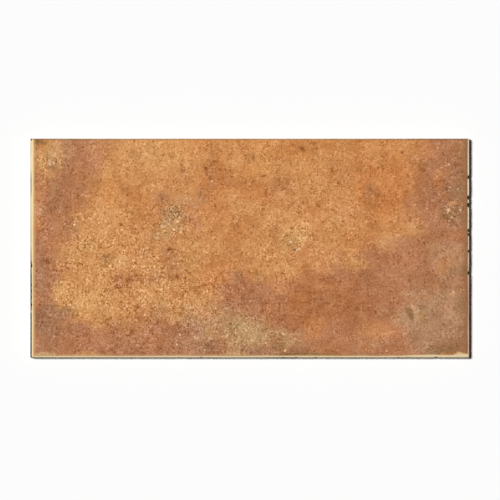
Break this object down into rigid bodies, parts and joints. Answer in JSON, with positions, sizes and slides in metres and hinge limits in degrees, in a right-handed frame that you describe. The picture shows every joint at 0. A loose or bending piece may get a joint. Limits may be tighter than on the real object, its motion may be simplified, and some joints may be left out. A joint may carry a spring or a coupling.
{
  "type": "ceramic trim tile",
  "caption": "Flat oblong rustic ceramic tile with a softened, worn face edge, a stepped die wall and square mortar keys across its back.",
  "frame": {"origin": "middle of the bedding face (the back), at the crossing of two ribs", "axes": "+X along the tile's length, +Y across its width, +Z from the back up to the face; the tile lies flat, face up"},
  "size_m": [0.3, 0.15, 0.0095],
  "materials": {
    "ceramic": "matte mottled terracotta glaze, worn through to the cream body along the edges"
  },
  "bodies": {
    "root": {"tile": "ceramic"}
  },
  "joints": []
}
